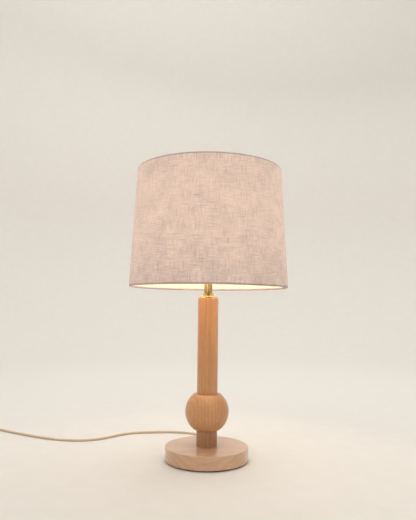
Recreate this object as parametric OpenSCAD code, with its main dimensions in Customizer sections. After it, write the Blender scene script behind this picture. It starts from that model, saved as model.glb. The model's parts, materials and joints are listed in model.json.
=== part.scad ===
// Table lamp: turned beech base, column and ball, brass fittings, linen drum shade.
// Origin: centre of the underside, on the surface the lamp stands on. +Z is up, and the mains
// cord leaves towards +Y.

/* [Shade] */
// Outer diameter of the shade at its lower rim
shade_bottom_d = 300; // [240:1:360]
// Outer diameter of the shade at its upper rim
shade_top_d = 278; // [220:1:340]
// Height of the shade from rim to rim
shade_h = 223; // [150:1:280]
// Thickness of the linen cover
cover_t = 1; // [0.6:0.1:2]
// Thickness of the styrene liner behind the linen
liner_t = 0.6; // [0.4:0.1:1.5]
// Diameter of the wire in the two shade rings
ring_wire_d = 3; // [2:0.1:5]
// Depth of the spider's hub below the upper rim
spider_drop = 10.5; // [6:0.5:30]
// Diameter of the spider's arms
arm_d = 3.2; // [2:0.1:5]
// Number of spider arms
arm_count = 3; // [3:1:4]
// Diameter of the spider's hub
hub_d = 22; // [16:1:30]
// Thickness of the spider's hub
hub_t = 2; // [1:0.5:4]

/* [Base] */
// Diameter of the wooden base
base_d = 154; // [120:1:220]
// Thickness of the wooden base
base_t = 24; // [20:0.5:40]
// Rounding of the base's edges
base_edge_r = 1.2; // [0.5:0.1:3]
// Thickness of the foot pad
pad_t = 2; // [1:0.5:4]
// Distance from the base's edge to the pad's edge
pad_inset = 4; // [2:0.5:12]
// Diameter of the hollow under the base
recess_d = 60; // [40:1:80]
// Depth of the hollow under the base
recess_h = 17; // [15:0.5:18]
// Height of the cord hole above the table
cord_hole_z = 9; // [8:0.5:11]
// Diameter of the cord hole
cord_hole_d = 9.4; // [8:0.1:10]

/* [Column] */
// Diameter of both column pieces
column_d = 38.5; // [30:0.5:50]
// Length of the piece below the ball
lower_h = 30.5; // [15:0.5:60]
// Length of the piece above the ball
upper_h = 178.5; // [120:0.5:260]
// Rounding of the column's upper edge
column_edge_r = 2; // [0.5:0.1:4]
// Diameter of the turned ball
ball_d = 81; // [60:0.5:110]
// Diameter of the flats turned on the ball's two ends
ball_flat_d = 50; // [50:0.5:58]
// Diameter of the hole drilled through the wood
drill_d = 11; // [10.6:0.1:13]

/* [Rod] */
// Outer diameter of the threaded rod
rod_d = 10; // [9.5:0.1:10.2]
// Bore of the threaded rod
rod_bore_d = 7; // [6:0.1:7.5]
// Width across the flats of the base nut
nut_af = 16; // [14:0.5:19]
// Thickness of the base nut
nut_t = 3.5; // [3:0.1:5]
// Diameter of the washer above the nut
washer_d = 32; // [20:1:40]
// Thickness of the washer above the nut
washer_t = 1.4; // [1:0.1:3]

/* [Cap and neck] */
// Diameter of the cap's flange
cap_d = 34.5; // [28:0.5:37]
// Height of the cap
cap_h = 8.5; // [6:0.5:14]
// Diameter of the cap's upper step
cap_step_d = 20.6; // [17:0.2:24]
// Diameter of the brass neck
neck_d = 15.5; // [13:0.1:17]
// Length of the brass neck
neck_h = 24; // [15:0.5:60]

/* [Harp] */
// Height of the harp from its saddle to the shade's seat
harp_h = 200; // [165:1:250]
// Diameter of the harp's wire
harp_wire_d = 4; // [3:0.1:5]
// Distance between the harp's two feet
foot_span = 56; // [50:1:64]
// Outward slope of the harp's sides, in degrees
harp_slope = 25; // [15:1:35]
// Thickness of the saddle's strip
saddle_t = 1.5; // [1:0.1:2.5]
// Width of the saddle's strip
saddle_w = 12; // [12:0.5:16]
// Outer diameter of the locking sleeves
sleeve_d = 7.4; // [6.6:0.1:10]
// Length of the locking sleeves
sleeve_h = 16; // [10:0.5:24]
// Diameter of the stud that holds the shade
stud_d = 6.3; // [5:0.1:8]
// Height of the stud above the shade's seat
stud_h = 12; // [8:0.5:18]
// Diameter of the finial's ball
finial_d = 17; // [14:0.5:26]

/* [Socket] */
// Outer diameter of the socket's shell
socket_d = 32.7; // [31:0.1:40]
// Height of the socket's cap
socket_cap_h = 20; // [16:0.5:26]
// Height of the socket's shell
socket_shell_h = 49; // [45:0.5:56]
// Inner diameter of the screw shell
screw_d = 26.8; // [26.6:0.1:27.4]
// Height of the screw shell
screw_h = 24; // [20:0.5:27]
// Diameter of the switch's shaft
shaft_d = 5; // [4:0.1:6]

/* [Bulb] */
// Largest diameter of the bulb
bulb_d = 60; // [45:1:65]
// Length of the bulb with its cap
bulb_h = 108; // [90:1:125]
// Diameter of the bulb's screw cap
bulb_cap_d = 26; // [25.8:0.1:26.4]

/* [Cord] */
// Diameter of the cord
cord_d = 5; // [4:0.1:6]
// Length of the strain relief behind the base
relief_h = 26; // [20:1:60]
// Diameter of the coil at the middle of its turns
coil_d = 55; // [50:1:60]
// Turns that lie beside each other in the coil
coil_rows = 3; // [2:1:4]
// Layers of turns in the coil
coil_layers = 2; // [1:1:3]
// Width of the tie round the coil
tie_w = 8; // [5:0.5:15]
// Length of the plug's body
plug_h = 26; // [20:1:40]
// Width of the plug's body
plug_w = 25; // [22:0.5:32]
// Thickness of the plug's body
plug_t = 13; // [11:0.5:16]

/* [Hidden] */
$fn = 64;

// Gap between pieces that turn or slide on each other
slip = 0.05;
// Gap between pieces that are only pushed together
play = 0.2;
// Overlap of a cutting shape past the face that it cuts
over = 1;

// Heights above the table, from the foot up
base_top = pad_t + base_t;
recess_top = pad_t + recess_h;
ball_bottom = base_top + lower_h;
flat_offset = sqrt(pow(ball_d / 2, 2) - pow(ball_flat_d / 2, 2));
ball_z = ball_bottom + flat_offset;
stem_bottom = ball_z + flat_offset;
stem_top = stem_bottom + upper_h;
neck_bottom = stem_top + cap_h;
saddle_z = neck_bottom + neck_h;
socket_z = saddle_z + saddle_t;
seat_z = saddle_z + harp_h;
shade_top_z = seat_z + spider_drop;
shade_bottom_z = shade_top_z - shade_h;

// Nut, washer and rod
washer_z = recess_top - washer_t;
nut_z = washer_z - nut_t;
rod_bottom = nut_z - 0.5;
hub_h = 9;
rod_top = socket_z + hub_h;

// Brass cap
cap_flange_h = 2.4;
cap_shoulder_h = 4.2;
cap_crown_h = 0.9;

// Harp
foot_x = foot_span / 2;
prong_top = saddle_z + 21;
prong_h = 9;
prong_bottom = prong_top - prong_h;
saddle_bend_r = 5;
straight_h = 26;
// The wire swells this much where a bend meets a straight run
wire_swell = 0.2;
flare_r = 14;
side_r = 80;
crown_r = 34;
eye_d = 13;
eye_t = harp_wire_d + 0.4;
seat_d = 14;
seat_t = 2;
eye_top = seat_z - seat_t - slip;
wire_top = eye_top - eye_t / 2;
rivet_d = 4.8;
rivet_head_d = 8;
rivet_head_t = 1.5;
// The two straight runs that close the harp on its centre line at the wire's top
side_run = (wire_top - prong_top - straight_h - flare_r * sin(harp_slope)
    - 2 * side_r * sin(harp_slope) - crown_r * (1 - sin(harp_slope))) / cos(harp_slope);
run_step = (foot_x + flare_r * (1 - cos(harp_slope)) - crown_r * cos(harp_slope))
    / sin(harp_slope);
flare_run = (side_run - run_step) / 2;
crown_run = (side_run + run_step) / 2;

// Socket
cap_wall = 0.8;
shell_wall = 0.5;
fibre_wall = 0.6;
socket_rim_z = socket_z + socket_cap_h;
shell_overlap = 5;
shell_z = socket_rim_z - shell_overlap;
shell_top = shell_z + socket_shell_h;
shell_bore_d = socket_d - 2 * shell_wall;
fibre_d = shell_bore_d - 2 * slip;
body_d = 26;
body_z = shell_z + 3;
body_top = shell_top - 1.5 - screw_h;
terminal_z = body_z + 7;
terminal_d = 5;
terminal_t = 1.8;
knob_z = body_z + 13;
shaft_start = 6;
shaft_end = socket_d / 2 + 10;
knob_w = 19;
knob_h = 13;
knob_t = 5;

// Bulb
contact_t = 1.2;
tip_z = body_top + contact_t + play;
tip_d = 9.5;
tip_h = 2;
bulb_insulator_h = 3.4;
bulb_cap_z = tip_z + tip_h + bulb_insulator_h;
housing_z = shell_top + 1;
globe_z = tip_z + bulb_h - bulb_d / 2;
// Where the globe meets the housing, below the globe's middle
seam_drop = bulb_d * 0.24;
seam_z = globe_z - seam_drop;
seam_d = 2 * sqrt(pow(bulb_d / 2, 2) - pow(seam_drop, 2));
globe_wall = 1.2;
board_t = 1.6;

// Finial
finial_foot_d = 11;
finial_foot_h = 3;
finial_neck_d = 8.6;
finial_neck_h = 4;

// Cord: the route's points lie on the table from the strain relief to the coil
cord_r = cord_d / 2;
relief_tip_y = 103;
cord_route = [
    [0, relief_tip_y, 9], [0, 113, 8.7], [0, 125, 7], [1, 138, 4.4], [1, 151, 2.8],
    [-2, 165, 2.5], [-10, 178, 2.5], [-23, 190, 2.5], [-41, 199, 2.5], [-62, 205, 2.5],
    [-84, 207, 2.5], [-106, 205, 2.5], [-128, 202, 2.5], [-150, 198, 2.5], [-170, 190, 2.5],
    [-188, 176, 2.5], [-204, 158, 2.5], [-222, 140, 2.5], [-244, 128, 2.5], [-268, 123, 2.5],
    [-294, 125, 2.5], [-320, 132, 2.5], [-346, 142, 2.5], [-372, 155, 2.5], [-396, 169, 2.5],
    [-420, 183, 2.5], [-444, 198, 2.5], [-466, 213, 2.5], [-485, 228, 2.7], [-500, 241, 3.5]
];
tie_t = 1;
coil_centre = [-521, 216];
coil_row = coil_rows * cord_d;
coil_height = coil_layers * cord_d;
// The free end leaves the coil's top turn and runs round it to the plug beside it
tail_route = [
    [-500, 241, 8.5], [-510, 249, 8.3], [-521, 256, 6.6], [-534, 261, 4.2], [-547, 261, 2.8],
    [-560, 257, 2.8], [-571, 248, 4], [-578, 236, 5.6], [-581, 224, 6.5], [-582, 212, 6.5]
];
plug_top = [-582, 212, 6.5];
plug_relief_h = 24;
blade_gap = 12.7;
blade_w = 6.3;
blade_t = 1.5;
blade_h = 16;

// A point on the smooth curve through the route, t of the way from point i to the next
function curve_point(route, i, t) =
    let (a = route[max(i - 1, 0)], b = route[i], c = route[i + 1],
         d = route[min(i + 2, len(route) - 1)])
    0.5 * (2 * b + (c - a) * t + (2 * a - 5 * b + 4 * c - d) * t * t
        + (3 * b - a - 3 * c + d) * t * t * t);

// The route with extra points between its own
function smooth_route(route, steps) = [
    for (i = [0 : len(route) - 2]) for (s = [0 : steps - 1]) curve_point(route, i, s / steps),
    route[len(route) - 1]
];

function unit(v) = v / norm(v);

// A round tube along a list of points; side_axis is never parallel to the tube
module tube_along(points, radius, sides, side_axis) {
    last = len(points) - 1;
    rings = [
        for (i = [0 : last])
            let (along = unit(points[min(i + 1, last)] - points[max(i - 1, 0)]),
                 across = unit(cross(side_axis, along)),
                 up = cross(along, across))
            for (k = [0 : sides - 1])
                points[i] + radius * (cos(360 * k / sides) * across + sin(360 * k / sides) * up)
    ];
    walls = [
        for (i = [0 : last - 1]) for (k = [0 : sides - 1])
            let (next = (k + 1) % sides)
            [i * sides + k, (i + 1) * sides + k, (i + 1) * sides + next, i * sides + next]
    ];
    ends = [[for (k = [0 : sides - 1]) k], [for (k = [sides - 1 : -1 : 0]) last * sides + k]];
    polyhedron(points = rings, faces = concat(walls, ends));
}

// A ring with a rectangular section
module washer(d, bore, h) {
    difference() {
        cylinder(d = d, h = h);
        translate([0, 0, -over]) cylinder(d = bore, h = h + 2 * over);
    }
}

// A disc with both rims rounded
module round_disc(d, h, edge) {
    rotate_extrude() {
        square([d / 2 - edge, h]);
        translate([0, edge]) square([d / 2, h - 2 * edge]);
        for (z = [edge, h - edge]) translate([d / 2 - edge, z]) circle(r = edge);
    }
}

// Wire run straight up from the origin; what follows it starts at its end
module wire_run(h, d) {
    cylinder(d = d, h = h);
    translate([0, 0, h]) sphere(d = d + wire_swell);
    translate([0, 0, h]) children();
}

// Wire bent towards +X from the origin; what follows it starts at its end
module wire_bend(radius, angle, d) {
    translate([radius, 0, 0]) mirror([1, 0, 0]) rotate([90, 0, 0])
        rotate_extrude(angle = angle) translate([radius, 0]) circle(d = d);
    translate([radius * (1 - cos(angle)), 0, radius * sin(angle)]) rotate([0, angle, 0]) {
        sphere(d = d + wire_swell);
        children();
    }
}

// A thin-walled cone with level rims
module cone_shell(bottom_d, top_d, h, wall) {
    rotate_extrude() polygon([
        [bottom_d / 2 - wall, 0], [bottom_d / 2, 0], [top_d / 2, h], [top_d / 2 - wall, h]
    ]);
}

module base_pad() {
    color("dimgray") cylinder(d = base_d - 2 * pad_inset, h = pad_t);
}

module base_disc() {
    color("burlywood") difference() {
        translate([0, 0, pad_t]) round_disc(base_d, base_t, base_edge_r);
        translate([0, 0, pad_t - over]) cylinder(d = recess_d, h = recess_h + over);
        cylinder(d = drill_d, h = base_top + over);
        translate([0, 0, cord_hole_z]) rotate([-90, 0, 0]) cylinder(d = cord_hole_d, h = base_d);
    }
}

module base_washer() {
    color("silver") translate([0, 0, washer_z]) washer(washer_d, rod_d + 2 * play, washer_t);
}

module base_nut() {
    color("silver") translate([0, 0, nut_z]) difference() {
        cylinder(d = nut_af / cos(30), h = nut_t, $fn = 6);
        translate([0, 0, -over]) cylinder(d = rod_d + 2 * slip, h = nut_t + 2 * over);
    }
}

module lower_column() {
    color("burlywood") translate([0, 0, base_top]) washer(column_d, drill_d, lower_h);
}

module ball() {
    color("burlywood") translate([0, 0, ball_z]) difference() {
        sphere(d = ball_d);
        for (side = [0, 180]) rotate([side, 0, 0])
            translate([0, 0, flat_offset]) cylinder(d = ball_d, h = ball_d);
        translate([0, 0, -ball_d]) cylinder(d = drill_d, h = 2 * ball_d);
    }
}

module upper_column() {
    straight = upper_h - column_edge_r;
    color("burlywood") translate([0, 0, stem_bottom]) difference() {
        rotate_extrude() {
            square([column_d / 2, straight]);
            square([column_d / 2 - column_edge_r, upper_h]);
            translate([column_d / 2 - column_edge_r, straight]) circle(r = column_edge_r);
        }
        translate([0, 0, -over]) cylinder(d = drill_d, h = upper_h + 2 * over);
    }
}

module threaded_rod() {
    color("silver") translate([0, 0, rod_bottom]) washer(rod_d, rod_bore_d, rod_top - rod_bottom);
}

module vase_cap() {
    bore_r = rod_d / 2 + play;
    shoulder_r = cap_step_d / 2 + 1.2;
    color("gold") translate([0, 0, stem_top]) rotate_extrude() polygon([
        [bore_r, 0], [cap_d / 2, 0], [cap_d / 2, cap_flange_h * 0.6],
        [cap_d / 2 - 0.8, cap_flange_h], [shoulder_r, cap_shoulder_h - 0.6],
        [cap_step_d / 2, cap_shoulder_h], [cap_step_d / 2, cap_h - cap_crown_h],
        [cap_step_d / 2 - cap_crown_h, cap_h], [bore_r, cap_h]
    ]);
}

module neck_tube() {
    color("gold") translate([0, 0, neck_bottom]) washer(neck_d, rod_d + 2 * play, neck_h);
}

// One upturned end of the saddle's strip, on the +X side
module saddle_end() {
    bend_x = foot_x - saddle_t / 2 - saddle_bend_r;
    riser_z = saddle_bend_r + saddle_t;
    riser_h = prong_bottom - saddle_z - riser_z;
    translate([0, -saddle_w / 2, 0]) cube([bend_x, saddle_w, saddle_t]);
    translate([bend_x, saddle_w / 2, riser_z]) rotate([90, 0, 0]) rotate([0, 0, -90])
        rotate_extrude(angle = 90) translate([saddle_bend_r, 0]) square([saddle_t, saddle_w]);
    translate([foot_x - saddle_t / 2, -saddle_w / 2, riser_z])
        cube([saddle_t, saddle_w, riser_h]);
    translate([foot_x, 0, riser_z + riser_h - saddle_t]) cylinder(d = sleeve_d, h = saddle_t);
    translate([foot_x, 0, riser_z + riser_h]) cylinder(d = harp_wire_d, h = prong_h - slip);
}

module harp_saddle() {
    color("gold") translate([0, 0, saddle_z]) difference() {
        union() {
            saddle_end();
            mirror([1, 0, 0]) saddle_end();
            cylinder(d = cap_step_d, h = saddle_t);
        }
        translate([0, 0, -over]) cylinder(d = rod_d + 2 * play, h = saddle_t + 2 * over);
    }
}

// One side of the harp's wire, from its foot to the centre line at the top
module harp_side() {
    translate([foot_x, 0, prong_top])
        wire_run(straight_h, harp_wire_d)
        wire_bend(flare_r, harp_slope, harp_wire_d)
        wire_run(flare_run, harp_wire_d)
        mirror([1, 0, 0]) wire_bend(side_r, 2 * harp_slope, harp_wire_d)
        wire_run(crown_run, harp_wire_d)
        wire_bend(crown_r, 90 - harp_slope, harp_wire_d);
}

module harp() {
    color("gold") difference() {
        union() {
            harp_side();
            mirror([1, 0, 0]) harp_side();
            translate([0, 0, eye_top - eye_t]) cylinder(d = eye_d, h = eye_t);
        }
        translate([0, 0, eye_top - eye_t - over])
            cylinder(d = rivet_d + 2 * slip, h = eye_t + 2 * over);
    }
}

// A sleeve that slides on the harp's foot and locks it to the saddle's prong
module sleeve(x) {
    color("gold") translate([x, 0, prong_bottom + slip])
        washer(sleeve_d, harp_wire_d + 2 * slip, sleeve_h);
}

module sleeve_left() {
    sleeve(-foot_x);
}

module sleeve_right() {
    sleeve(foot_x);
}

module harp_stud() {
    color("gold") {
        translate([0, 0, eye_top - eye_t - slip - rivet_head_t])
            cylinder(d = rivet_head_d, h = rivet_head_t);
        translate([0, 0, eye_top - eye_t - slip - rivet_head_t])
            cylinder(d = rivet_d, h = rivet_head_t + eye_t + 2 * slip + seat_t);
        translate([0, 0, eye_top + slip]) cylinder(d = seat_d, h = seat_t);
        translate([0, 0, seat_z]) cylinder(d = stud_d, h = stud_h);
    }
}

module finial() {
    foot_z = seat_z + hub_t + 2 * slip;
    bore_h = stud_h - hub_t + over;
    ball_r = finial_d / 2;
    neck_r = finial_neck_d / 2;
    ball_drop = sqrt(ball_r * ball_r - neck_r * neck_r);
    color("gold") translate([0, 0, foot_z]) difference() {
        union() {
            cylinder(d = finial_foot_d, h = finial_foot_h);
            cylinder(d = finial_neck_d, h = finial_foot_h + finial_neck_h);
            translate([0, 0, finial_foot_h + finial_neck_h + ball_drop]) sphere(r = ball_r);
        }
        translate([0, 0, -over]) cylinder(d = stud_d + 2 * slip, h = bore_h + over);
    }
}

module socket_cap() {
    rim_r = socket_d / 2 + slip + cap_wall;
    foot_r = cap_step_d / 2 - 1;
    foot_h = 4;
    slope_h = 9;
    color("gold") translate([0, 0, socket_z]) {
        rotate_extrude() polygon([
            [rod_d / 2 + slip, 0], [foot_r, 0], [foot_r, foot_h], [rim_r, foot_h + slope_h],
            [rim_r, socket_cap_h], [rim_r - cap_wall, socket_cap_h],
            [rim_r - cap_wall, foot_h + slope_h + 0.4],
            [foot_r - cap_wall, foot_h + 1], [rod_d / 2 + 2, foot_h + 1],
            [rod_d / 2 + 2, hub_h], [rod_d / 2 + slip, hub_h]
        ]);
    }
}

// The grub screw that stops the socket turning on the rod
module set_screw() {
    inner = cap_step_d / 2 - 1;
    color("silver") translate([0, inner, socket_z + 2]) rotate([-90, 0, 0]) difference() {
        cylinder(d = 3, h = 2.4);
        translate([0, 0, 1.6]) cube([4, 0.6, 2], center = true);
    }
}

module socket_shell() {
    color("gold") difference() {
        translate([0, 0, shell_z]) washer(socket_d, shell_bore_d, socket_shell_h);
        translate([0, 0, knob_z]) rotate([90, 0, 0]) cylinder(d = shaft_d + 2, h = socket_d);
    }
}

module socket_liner() {
    color("tan") difference() {
        translate([0, 0, shell_z + 1])
            washer(fibre_d, fibre_d - 2 * fibre_wall, socket_shell_h - 2);
        translate([0, 0, knob_z]) rotate([90, 0, 0]) cylinder(d = shaft_d + 2, h = socket_d);
    }
}

module socket_body() {
    color("black") difference() {
        translate([0, 0, body_z]) cylinder(d = body_d, h = body_top - body_z);
        translate([0, 0, body_z - over]) cylinder(d = 8, h = 5);
        translate([0, 0, knob_z]) rotate([90, 0, 0])
            cylinder(d = shaft_d + 2 * slip, h = socket_d);
    }
}

module terminal_screws() {
    color("gold") for (side = [0, 180]) rotate([0, 0, side])
        translate([body_d / 2, 0, terminal_z]) rotate([0, 90, 0]) difference() {
            cylinder(d = terminal_d, h = terminal_t);
            translate([0, 0, terminal_t]) cube([terminal_d + over, 0.8, 1], center = true);
        }
}

module screw_shell() {
    color("gold") translate([0, 0, body_top]) washer(screw_d + 1, screw_d, screw_h);
}

module centre_contact() {
    leaf = [12, 4, 0.5];
    color("gold") translate([0, 0, body_top]) {
        translate([-leaf[0] / 2, -leaf[1] / 2, 0]) cube(leaf);
        cylinder(d = leaf[1], h = contact_t);
    }
}

module switch_shaft() {
    color("gold") translate([0, -shaft_start, knob_z]) rotate([90, 0, 0])
        cylinder(d = shaft_d, h = shaft_end - shaft_start);
}

module switch_knob() {
    collar_d = 9;
    collar_h = 4;
    color("black") translate([0, -shaft_end, knob_z]) rotate([90, 0, 0]) {
        cylinder(d = collar_d, h = collar_h);
        translate([0, 0, collar_h]) hull() for (side = [-1, 1])
            translate([side * (knob_w - knob_t) / 2, 0, 0]) {
                cylinder(d = knob_t, h = knob_h - knob_t / 2, $fn = 32);
                translate([0, 0, knob_h - knob_t / 2]) sphere(d = knob_t - 1, $fn = 32);
            }
    }
}

// Inside the lamp the cord dips under the rod and climbs its bore
module inner_cord() {
    tip = base_d / 2 + relief_h;
    low = pad_t + cord_r + 0.5;
    bend = rod_bottom - low;
    hall = recess_d / 2;
    dip = [
        [0, hall, cord_hole_z], [0, hall - 6, cord_hole_z - 1.4], [0, bend + 4, low + 0.3],
        [0, bend, low], [0, bend * 0.5, low + bend * 0.14], [0, bend * 0.14, low + bend * 0.5],
        [0, 0, rod_bottom]
    ];
    route = concat([[0, tip, cord_hole_z]], smooth_route(dip, 2), [[0, 0, rod_top]]);
    color("tan") tube_along(route, cord_r, 12, [1, 0, 0]);
}

// The cord's two cores, bared from the rod's top to the terminal screws
module core_wires() {
    core_d = 1.8;
    clear_x = body_d / 2 + core_d / 2 + 0.2;
    route = [
        [core_d, 0, rod_top + slip], [core_d * 1.5, 0, rod_top + 3],
        [clear_x - 3, 0, body_z - 4], [clear_x, 0, body_z - 0.6],
        [clear_x, 0, terminal_z - terminal_d / 2 - slip]
    ];
    color("peru") for (side = [0, 1]) mirror([side, 0, 0])
        tube_along(smooth_route(route, 4), core_d / 2, 8, [0, 1, 0]);
}

module cord_gland() {
    shank_h = 15;
    flange_h = 2.5;
    color("saddlebrown") translate([0, base_d / 2, cord_hole_z]) rotate([-90, 0, 0]) difference() {
        union() {
            translate([0, 0, -shank_h]) cylinder(d = cord_hole_d - 2 * slip, h = shank_h + 1);
            cylinder(d = cord_hole_d + 2.6, h = flange_h);
            translate([0, 0, flange_h])
                cylinder(d1 = cord_hole_d, d2 = cord_d + 1.6, h = relief_h - flange_h);
        }
        translate([0, 0, -shank_h - over])
            cylinder(d = cord_d + 2 * slip, h = shank_h + relief_h + 2 * over);
    }
}

module bulb_contact() {
    color("silver") translate([0, 0, tip_z]) {
        cylinder(d1 = tip_d * 0.6, d2 = tip_d, h = tip_h / 2);
        translate([0, 0, tip_h / 2]) cylinder(d = tip_d, h = tip_h / 2 - slip);
    }
}

module bulb_insulator() {
    color("black") translate([0, 0, tip_z + tip_h])
        cylinder(d1 = tip_d + 2, d2 = bulb_cap_d - 2, h = bulb_insulator_h);
}

module bulb_screw_cap() {
    wall = 0.6;
    color("silver") translate([0, 0, bulb_cap_z])
        washer(bulb_cap_d, bulb_cap_d - 2 * wall, housing_z - bulb_cap_z);
}

module bulb_housing() {
    wall = 1.6;
    foot_d = bulb_cap_d + 1.6;
    foot_h = 3;
    color("white") translate([0, 0, housing_z]) rotate_extrude() polygon([
        [foot_d / 2 - wall, 0], [foot_d / 2, 0], [foot_d / 2, foot_h],
        [seam_d / 2, seam_z - housing_z], [seam_d / 2 - wall, seam_z - housing_z],
        [foot_d / 2 - wall, foot_h]
    ]);
}

module led_board() {
    color("white") translate([0, 0, seam_z - board_t]) cylinder(d = seam_d - 8, h = board_t);
}

module bulb_globe() {
    color("white") translate([0, 0, globe_z]) difference() {
        sphere(d = bulb_d);
        sphere(d = bulb_d - 2 * globe_wall);
        translate([0, 0, -seam_drop - bulb_d]) cylinder(d = 2 * bulb_d, h = bulb_d);
    }
}

module shade_cover() {
    color("rosybrown") translate([0, 0, shade_bottom_z])
        cone_shell(shade_bottom_d, shade_top_d, shade_h, cover_t);
}

module shade_liner() {
    rim = 1;
    inner_bottom_d = shade_bottom_d - 2 * (cover_t + slip);
    inner_top_d = shade_top_d - 2 * (cover_t + slip);
    taper = (shade_bottom_d - shade_top_d) / shade_h;
    color("ivory") translate([0, 0, shade_bottom_z + rim])
        cone_shell(inner_bottom_d - taper * rim, inner_top_d + taper * rim,
            shade_h - 2 * rim, liner_t);
}

// A wire ring inside the liner, with its top or bottom level with a rim
module shade_ring(rim_d, z) {
    ring_r = rim_d / 2 - cover_t - liner_t - 4 * slip - ring_wire_d / 2;
    color("ivory") translate([0, 0, z]) rotate_extrude()
        translate([ring_r, 0]) circle(d = ring_wire_d);
}

module top_ring() {
    shade_ring(shade_top_d, shade_top_z - ring_wire_d / 2);
}

module bottom_ring() {
    taper = (shade_bottom_d - shade_top_d) / shade_h;
    shade_ring(shade_bottom_d - taper * ring_wire_d, shade_bottom_z + ring_wire_d / 2);
}

module spider() {
    ring_r = shade_top_d / 2 - cover_t - liner_t - 4 * slip - ring_wire_d;
    ring_z = shade_top_z - ring_wire_d / 2;
    hub_z = seat_z + slip;
    arm_z = hub_z + arm_d / 2 + 0.3;
    knee_r = ring_r - 18;
    rise = [ring_r - knee_r, ring_z - arm_z];
    color("ivory") {
        translate([0, 0, hub_z]) washer(hub_d, stud_d + 2 * play, hub_t);
        for (i = [0 : arm_count - 1]) rotate([0, 0, 90 + i * 360 / arm_count]) {
            translate([hub_d / 2 - 2, 0, arm_z]) rotate([0, 90, 0])
                cylinder(d = arm_d, h = knee_r - hub_d / 2 + 2);
            translate([knee_r, 0, arm_z]) sphere(d = arm_d + 0.6);
            translate([knee_r, 0, arm_z]) rotate([0, atan2(rise[0], rise[1]), 0])
                cylinder(d = arm_d, h = norm(rise) - 1);
        }
    }
}

module cord() {
    color("tan") tube_along(smooth_route(cord_route, 2), cord_r, 8, [0, 0, 1]);
}

module cord_coil() {
    color("tan") translate([coil_centre[0], coil_centre[1], tie_t]) rotate_extrude()
        translate([coil_d / 2, 0]) {
            for (side = [-1, 1]) for (z = [cord_r, coil_height - cord_r])
                translate([side * (coil_row / 2 - cord_r), z]) circle(r = cord_r);
            translate([-coil_row / 2 + cord_r, 0]) square([coil_row - cord_d, coil_height]);
            translate([-coil_row / 2, cord_r]) square([coil_row, coil_height - cord_d]);
        }
}

module cord_tie() {
    inner = [coil_row + 2 * slip, tie_w, coil_height + 2 * slip];
    outer = [inner[0] + 2 * tie_t, tie_w, inner[2] + 2 * tie_t - slip];
    mid_z = tie_t + coil_height / 2;
    translate([coil_centre[0], coil_centre[1], mid_z]) rotate([0, 0, -60])
        translate([coil_d / 2, 0, 0]) color("saddlebrown") difference() {
            cube([outer[0] + 0.6, outer[1], outer[2] - slip], center = true);
            cube([inner[0] + 0.6, inner[1] + over, inner[2]], center = true);
        }
}

module cord_tail() {
    color("tan") tube_along(smooth_route(tail_route, 2), cord_r, 8, [0, 0, 1]);
}

// The plug's pieces are drawn upright from the cord's end and laid along -Y
module at_plug() {
    translate(plug_top) rotate([90, 0, 0]) children();
}

module plug_relief() {
    color("tan") at_plug() difference() {
        cylinder(d1 = cord_d + 2, d2 = plug_t - 2, h = plug_relief_h);
        translate([0, 0, -over]) cylinder(d = cord_d - 1, h = plug_relief_h + 2 * over);
    }
}

module plug_body() {
    corner_r = 3;
    color("tan") at_plug() translate([0, 0, plug_relief_h]) hull()
        for (x = [-1, 1]) for (y = [-1, 1]) {
            translate([x * (plug_w / 2 - corner_r), y * (plug_t / 2 - corner_r), corner_r])
                cylinder(r = corner_r, h = plug_h - corner_r, $fn = 32);
            translate([x * (plug_w / 2 - corner_r - 2), y * (plug_t / 2 - corner_r - 0.8), 0])
                cylinder(r = corner_r, h = corner_r, $fn = 32);
        }
}

module plug_blades() {
    color("gold") at_plug() for (side = [-1, 1])
        translate([side * blade_gap / 2, 0, plug_relief_h + plug_h + blade_h / 2])
            cube([blade_t, blade_w, blade_h], center = true);
}

base_pad();
base_disc();
base_washer();
base_nut();
lower_column();
ball();
upper_column();
threaded_rod();
vase_cap();
neck_tube();
harp_saddle();
harp();
sleeve_left();
sleeve_right();
harp_stud();
finial();
socket_cap();
set_screw();
socket_shell();
socket_liner();
socket_body();
terminal_screws();
screw_shell();
centre_contact();
switch_shaft();
switch_knob();
inner_cord();
core_wires();
cord_gland();
bulb_contact();
bulb_insulator();
bulb_screw_cap();
bulb_housing();
led_board();
bulb_globe();
shade_cover();
shade_liner();
top_ring();
bottom_ring();
spider();
cord();
cord_coil();
cord_tie();
cord_tail();
plug_relief();
plug_body();
plug_blades();
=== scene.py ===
"""Looks of a table lamp: turned beech, a linen drum shade, brass fittings and a braided cord."""

import json
import logging
import math
from dataclasses import dataclass
from enum import Enum
from typing import Any

import bmesh
import bpy
from mathutils import Euler, Matrix, Vector


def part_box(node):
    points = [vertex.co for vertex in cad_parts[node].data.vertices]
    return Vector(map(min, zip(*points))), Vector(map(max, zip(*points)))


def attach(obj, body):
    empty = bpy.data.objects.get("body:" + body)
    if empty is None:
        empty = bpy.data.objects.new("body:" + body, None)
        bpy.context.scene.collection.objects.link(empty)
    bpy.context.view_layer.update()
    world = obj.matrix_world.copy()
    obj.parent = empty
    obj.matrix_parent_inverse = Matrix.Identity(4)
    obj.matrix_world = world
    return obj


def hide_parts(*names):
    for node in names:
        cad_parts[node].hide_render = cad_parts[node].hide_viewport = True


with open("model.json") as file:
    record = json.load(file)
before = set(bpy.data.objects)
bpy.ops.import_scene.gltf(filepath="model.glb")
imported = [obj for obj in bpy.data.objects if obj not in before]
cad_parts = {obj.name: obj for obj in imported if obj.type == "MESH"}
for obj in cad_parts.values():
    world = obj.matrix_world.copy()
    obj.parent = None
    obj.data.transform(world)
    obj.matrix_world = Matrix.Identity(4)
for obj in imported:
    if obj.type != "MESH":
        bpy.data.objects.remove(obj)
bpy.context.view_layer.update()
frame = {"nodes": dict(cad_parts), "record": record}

log = logging.getLogger("lamp")
MM = 0.001
Point = tuple[float, float, float]
Shape = list[tuple[float, float]]


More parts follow.
